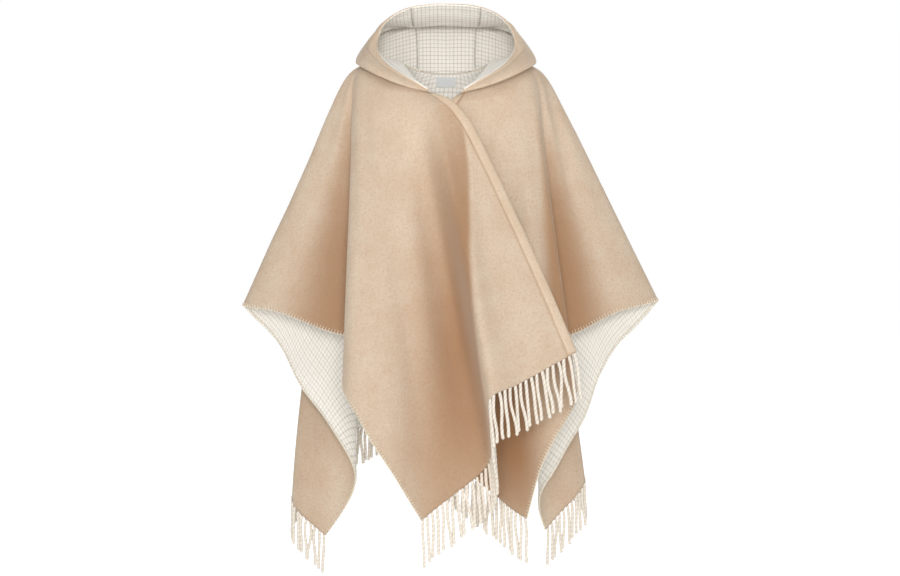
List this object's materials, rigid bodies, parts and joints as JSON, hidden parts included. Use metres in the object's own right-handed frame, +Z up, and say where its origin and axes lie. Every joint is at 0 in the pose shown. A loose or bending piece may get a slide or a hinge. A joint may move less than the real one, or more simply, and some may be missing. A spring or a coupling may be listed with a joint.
{
  "type": "hooded blanket cloak",
  "caption": "Hooded open-front blanket cloak with lapped fronts, deep folds, pointed corners and a fringed hem, worn and hollow.",
  "frame": {"origin": "middle of the neck opening, level with the nape seam, where the wearer's shoulders carry the cloak", "axes": "+Z up along the worn garment's height, front towards -Y, wearer's left towards +X"},
  "size_m": [0.83, 0.5457, 1.159],
  "materials": {
    "camel_wool": "brushed double-faced wool, camel outside and cream checked inside",
    "camel_wool_band": "turned and stitched edge of the same wool",
    "cream_wool_fringe": "twisted wool yarn",
    "woven_label": "plain woven satin label"
  },
  "bodies": {
    "root": {"front_over": "camel_wool", "front_under": "camel_wool", "back": "camel_wool", "hood_side_right": "camel_wool", "hood_side_left": "camel_wool", "hood_centre": "camel_wool", "hood_rim_band": "camel_wool_band", "band_over": "camel_wool_band", "band_under": "camel_wool_band", "fringe_over": "cream_wool_fringe", "fringe_under": "cream_wool_fringe", "fringe_back": "cream_wool_fringe", "label": "woven_label"}
  },
  "joints": []
}
